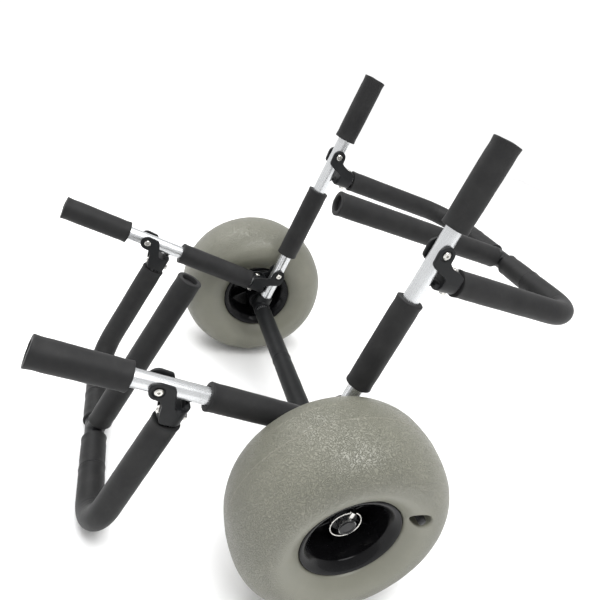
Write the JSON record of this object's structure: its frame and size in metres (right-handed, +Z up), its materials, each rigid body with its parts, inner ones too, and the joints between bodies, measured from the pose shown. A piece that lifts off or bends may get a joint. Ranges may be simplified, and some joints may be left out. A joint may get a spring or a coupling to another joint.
{
  "type": "folding beach cart",
  "caption": "Folding kayak trolley: balloon wheels on a padded axle, upright and tail arms, and hinged padded loops with prongs.",
  "frame": {"origin": "on the floor, in the middle of the cart's length and of its width", "axes": "+X away from the tail, +Y along the axle towards the far wheel, +Z up"},
  "size_m": [0.8166, 0.8116, 0.674],
  "materials": {
    "foam": "matt closed-cell foam",
    "axle_foam": "matt closed-cell foam",
    "alloy": "satin, drawn",
    "tyre": "matt, wrinkled",
    "hub": "gloss moulded",
    "bush": "smooth, self-lubricating",
    "black_plastic": "satin moulded",
    "steel": "bright stainless",
    "brass": "dull"
  },
  "bodies": {
    "frame": {"axle_tube": "alloy", "axle_sleeve_near": "axle_foam", "axle_sleeve_far": "axle_foam", "axle_end_caps": "black_plastic", "axle_tees": "black_plastic", "wheel_washers": "black_plastic", "upright_near": "alloy", "upright_far": "alloy", "upright_sleeve_low_near": "foam", "upright_sleeve_low_far": "foam", "upright_sleeve_high_near": "foam", "upright_sleeve_high_far": "foam", "upright_plugs": "black_plastic", "lock_pins": "steel"},
    "near_wheel": {"tyre_near": "tyre", "hub_near": "hub", "hub_bushes_near": "bush", "valve_near": "brass", "valve_cap_near": "black_plastic"},
    "far_wheel": {"tyre_far": "tyre", "hub_far": "hub", "hub_bushes_far": "bush", "valve_far": "brass", "valve_cap_far": "black_plastic"},
    "near_ring": {"pin_ring_near": "steel"},
    "far_ring": {"pin_ring_far": "steel"},
    "tail_arms": {"tail_hinges": "black_plastic", "tail_bolts": "steel", "tail_nuts": "steel", "tail_tube_near": "alloy", "tail_tube_far": "alloy", "tail_sleeve_low_near": "foam", "tail_sleeve_low_far": "foam", "tail_sleeve_high_near": "foam", "tail_sleeve_high_far": "foam", "tail_plugs": "black_plastic"},
    "upper_loop": {"upper_hinges": "black_plastic", "upper_bolts": "steel", "upper_nuts": "steel", "upper_loop_tube": "alloy", "upper_bar_sleeves": "foam", "upper_leg_sleeve_near": "foam", "upper_leg_sleeve_far": "foam", "upper_tee": "black_plastic", "upper_prong_tube": "alloy", "upper_prong_sleeve": "foam", "upper_prong_plug": "black_plastic"},
    "lower_loop": {"lower_hinges": "black_plastic", "lower_bolts": "steel", "lower_nuts": "steel", "lower_loop_tube": "alloy", "lower_bar_sleeves": "foam", "lower_leg_sleeve_near": "foam", "lower_leg_sleeve_far": "foam", "lower_tee": "black_plastic", "lower_prong_tube": "alloy", "lower_prong_sleeve": "foam", "lower_prong_plug": "black_plastic"}
  },
  "joints": [
    {"name": "near_wheel_spin", "type": "hinge", "parent": "frame", "child": "near_wheel", "pos_m": [-0.0092, -0.32575, 0.159], "axis": [0, 1, 0], "continuous": true},
    {"name": "far_wheel_spin", "type": "hinge", "parent": "frame", "child": "far_wheel", "pos_m": [-0.0092, 0.32575, 0.159], "axis": [0, 1, 0], "continuous": true},
    {"name": "tail_arm_fold", "type": "hinge", "parent": "frame", "child": "tail_arms", "pos_m": [0.01385, 0, 0.24289], "axis": [0, 1, 0], "range_deg": [0, 55]},
    {"name": "upper_loop_fold", "type": "hinge", "parent": "frame", "child": "upper_loop", "pos_m": [0.08868, 0, 0.5153], "axis": [0, -1, 0], "range_deg": [0, 80]},
    {"name": "lower_loop_fold", "type": "hinge", "parent": "tail_arms", "child": "lower_loop", "pos_m": [-0.25725, 0, 0.29787], "axis": [0, 1, 0], "range_deg": [0, 80]},
    {"name": "near_ring_swing", "type": "hinge", "parent": "frame", "child": "near_ring", "pos_m": [-0.00376, -0.36075, 0.17877], "axis": [-0.9643, 0, 0.2649], "range_deg": [0, 150]},
    {"name": "far_ring_swing", "type": "hinge", "parent": "frame", "child": "far_ring", "pos_m": [-0.00376, 0.36075, 0.17877], "axis": [0.9643, 0, -0.2649], "range_deg": [0, 150]}
  ]
}
